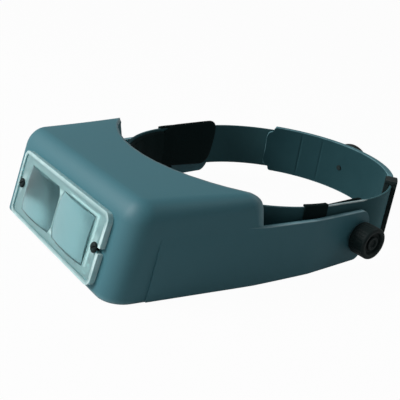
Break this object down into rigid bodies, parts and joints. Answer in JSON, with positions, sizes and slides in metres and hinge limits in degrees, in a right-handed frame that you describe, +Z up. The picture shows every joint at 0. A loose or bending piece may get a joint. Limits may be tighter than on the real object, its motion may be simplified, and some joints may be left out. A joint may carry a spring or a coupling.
{
  "type": "head visor magnifier",
  "caption": "Worn magnifier: a moulded hood with a clear lens plate tilts on side knobs from an adjustable headband with a sweatband, slide buckle and rear lock knob.",
  "frame": {"origin": "middle of the object's length and width, on the plane of the hood's rim that it rests on", "axes": "+Z up, -Y the way the wearer looks, +X to the wearer's left"},
  "size_m": [0.199, 0.2686, 0.0551],
  "materials": {
    "hood": "satin blue-grey moulding",
    "clear": "clear, polished edges",
    "lens": "polished",
    "band": "fine grain",
    "pad": "matt",
    "black": "matt black",
    "steel": "brushed"
  },
  "bodies": {
    "headband": {"front_band": "band", "sweatband": "pad", "temple_pad_left": "pad", "temple_pad_right": "pad", "sweatband_loop_left": "pad", "sweatband_loop_right": "pad", "rear_strap": "band", "lock_screw": "black", "lock_washer": "black", "pivot_stud_left": "steel", "pivot_stud_right": "steel", "friction_washer_left": "black", "friction_washer_right": "black"},
    "visor": {"visor_hood": "hood", "lens_frame": "clear", "lens_left": "lens", "lens_right": "lens", "lens_screws": "black", "spring_washer_left": "steel", "spring_washer_right": "steel"},
    "knob_left": {"pivot_knob_left": "black"},
    "knob_right": {"pivot_knob_right": "black"},
    "lock": {"lock_knob": "black"},
    "slider": {"buckle": "black"},
    "nut_left": {"lens_nut_left": "black"},
    "nut_right": {"lens_nut_right": "black"}
  },
  "joints": [
    {"name": "visor_tilt", "type": "hinge", "parent": "headband", "child": "visor", "pos_m": [0, 0.03735, 0.0225], "axis": [-1, 0, 0], "range_deg": [-10, 65]},
    {"name": "knob_left_turn", "type": "hinge", "parent": "headband", "child": "knob_left", "pos_m": [0.09, 0.03735, 0.0225], "axis": [1, 0, 0], "range_deg": [0, 360]},
    {"name": "knob_right_turn", "type": "hinge", "parent": "headband", "child": "knob_right", "pos_m": [-0.09, 0.03735, 0.0225], "axis": [-1, 0, 0], "range_deg": [0, 360]},
    {"name": "lock_turn", "type": "hinge", "parent": "headband", "child": "lock", "pos_m": [0, 0.04035, 0.0289], "axis": [-0.0872, 0.9962, 0], "range_deg": [0, 360]},
    {"name": "buckle_slide", "type": "hinge", "parent": "headband", "child": "slider", "pos_m": [0, 0.04035, 0.0289], "axis": [0, 0, 1], "range_deg": [-16, 1]},
    {"name": "nut_left_turn", "type": "hinge", "parent": "visor", "child": "nut_left", "pos_m": [0.0482, -0.12665, 0.0225], "axis": [0, 0.9767, -0.2147], "range_deg": [0, 720]},
    {"name": "nut_right_turn", "type": "hinge", "parent": "visor", "child": "nut_right", "pos_m": [-0.0482, -0.12665, 0.0225], "axis": [0, 0.9767, -0.2147], "range_deg": [0, 720]}
  ]
}
